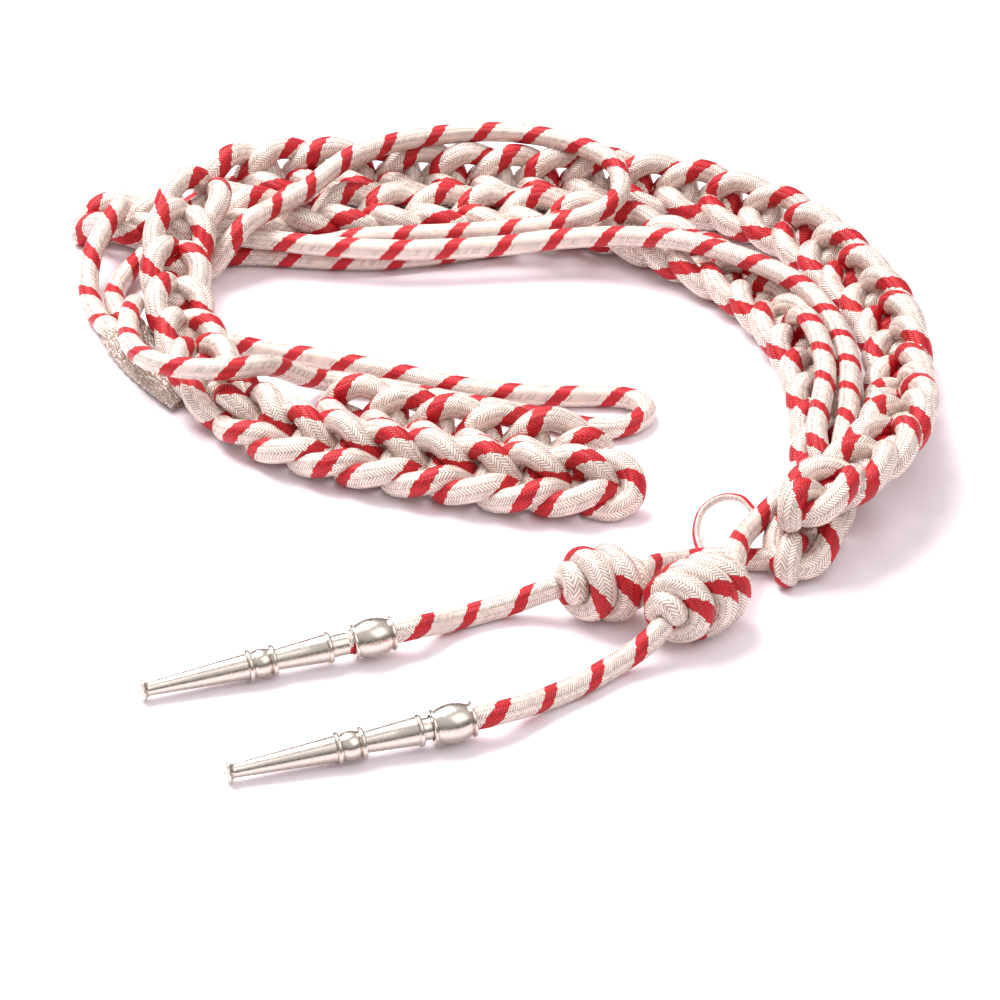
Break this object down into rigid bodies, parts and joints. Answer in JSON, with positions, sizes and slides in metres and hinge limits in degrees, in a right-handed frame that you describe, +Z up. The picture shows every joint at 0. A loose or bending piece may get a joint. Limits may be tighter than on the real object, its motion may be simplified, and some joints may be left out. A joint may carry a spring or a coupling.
{
  "type": "aiguillette",
  "caption": "Dress aiguillette of striped silver braided cord: looped plaits, plain cord loops, knots and pointed metal tags, lying loosely.",
  "frame": {"origin": "on the surface that it lies on, below the middle of its bounding box", "axes": "+Z up, +Y from the tags towards the back plaits, +X from the shoulder end towards the junction"},
  "size_m": [0.244, 0.3037, 0.0273],
  "materials": {
    "silver_cord": "satin braided metallised thread, ivory silver with a red spiral stripe",
    "silver_lace": "flat woven silver lace, sparkling",
    "polished_nickel": "polished nickel plate on turned brass"
  },
  "bodies": {
    "root": {"plait_long": "silver_cord", "plait_short": "silver_cord", "plait_arm": "silver_cord", "plait_under": "silver_cord", "loop_long": "silver_cord", "loop_arm": "silver_cord", "front_cord_1": "silver_cord", "front_cord_2": "silver_cord", "front_cord_3": "silver_cord", "shoulder_cord_1": "silver_cord", "shoulder_cord_2": "silver_cord", "neck_cord_1": "silver_cord", "neck_cord_2": "silver_cord", "tag_cord_1": "silver_cord", "tag_cord_2": "silver_cord", "button_loop": "silver_cord", "knot_1": "silver_cord", "knot_2": "silver_cord", "lace_tab": "silver_lace", "tag_bead_1": "polished_nickel", "tag_bead_2": "polished_nickel", "tag_point_1": "polished_nickel", "tag_point_2": "polished_nickel"}
  },
  "joints": []
}
